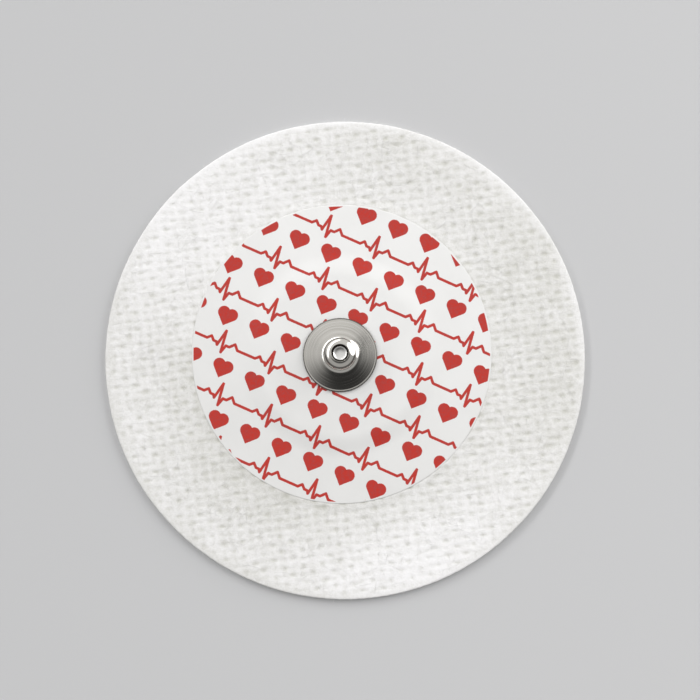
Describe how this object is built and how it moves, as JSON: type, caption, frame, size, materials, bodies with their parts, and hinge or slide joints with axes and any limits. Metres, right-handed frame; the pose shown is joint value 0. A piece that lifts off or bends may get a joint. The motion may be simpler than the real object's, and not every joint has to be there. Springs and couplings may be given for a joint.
{
  "type": "ecg electrode",
  "caption": "Round cloth-backed monitoring electrode: film label, drawn metal snap stud, sensor eyelet, and a gel-soaked sponge in the middle of its skin side.",
  "frame": {"origin": "centre of the cloth backing's outline, on its skin side", "axes": "+Z out of the stud, away from the skin; +Y towards the edge that is uppermost in the picture; +X to the right"},
  "size_m": [0.06, 0.06, 0.0047],
  "materials": {
    "cloth": "soft white cloth, dimpled between its threads",
    "printed_film": "satin white film printed in red",
    "stud_metal": "plated, with fine turning lines on the flange",
    "sensor_coat": "grey silver and silver chloride coat",
    "gel_foam": "open foam, wet with clear gel"
  },
  "bodies": {
    "root": {"cloth_backing": "cloth", "label_film": "printed_film", "snap_stud": "stud_metal", "sensor_eyelet": "sensor_coat", "gel_sponge": "gel_foam"}
  },
  "joints": []
}
